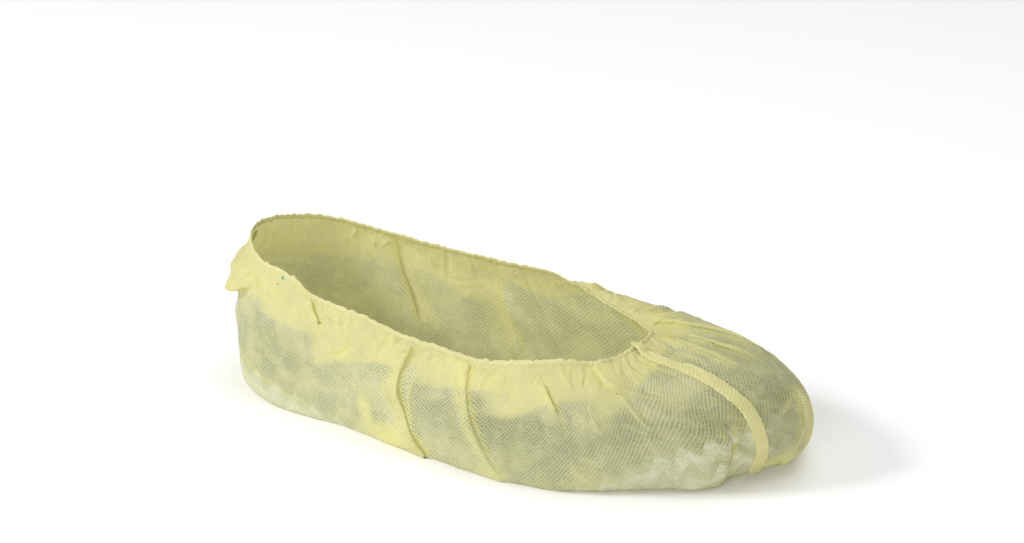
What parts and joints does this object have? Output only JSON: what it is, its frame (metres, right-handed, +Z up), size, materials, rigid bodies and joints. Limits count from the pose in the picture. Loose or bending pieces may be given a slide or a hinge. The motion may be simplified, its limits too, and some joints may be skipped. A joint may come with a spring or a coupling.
{
  "type": "disposable shoe cover",
  "caption": "Disposable overshoe of thin spunbonded fabric with an elastic gathered opening and a folded toe seam, pulled on over a shoe to keep floors clean.",
  "frame": {"origin": "on the floor under the middle of the cover's bounding box", "axes": "+X to the toe, -Y to the side seen in the picture, +Z up"},
  "size_m": [0.3028, 0.121, 0.0771],
  "materials": {
    "sheet": "point-bonded spunbond, matte",
    "hem": "rolled spunbond over elastic, matte",
    "seam": "doubled spunbond, matte"
  },
  "bodies": {
    "root": {"sheet": "sheet", "elastic_hem": "hem", "toe_seam": "seam", "heel_seam": "seam"}
  },
  "joints": []
}
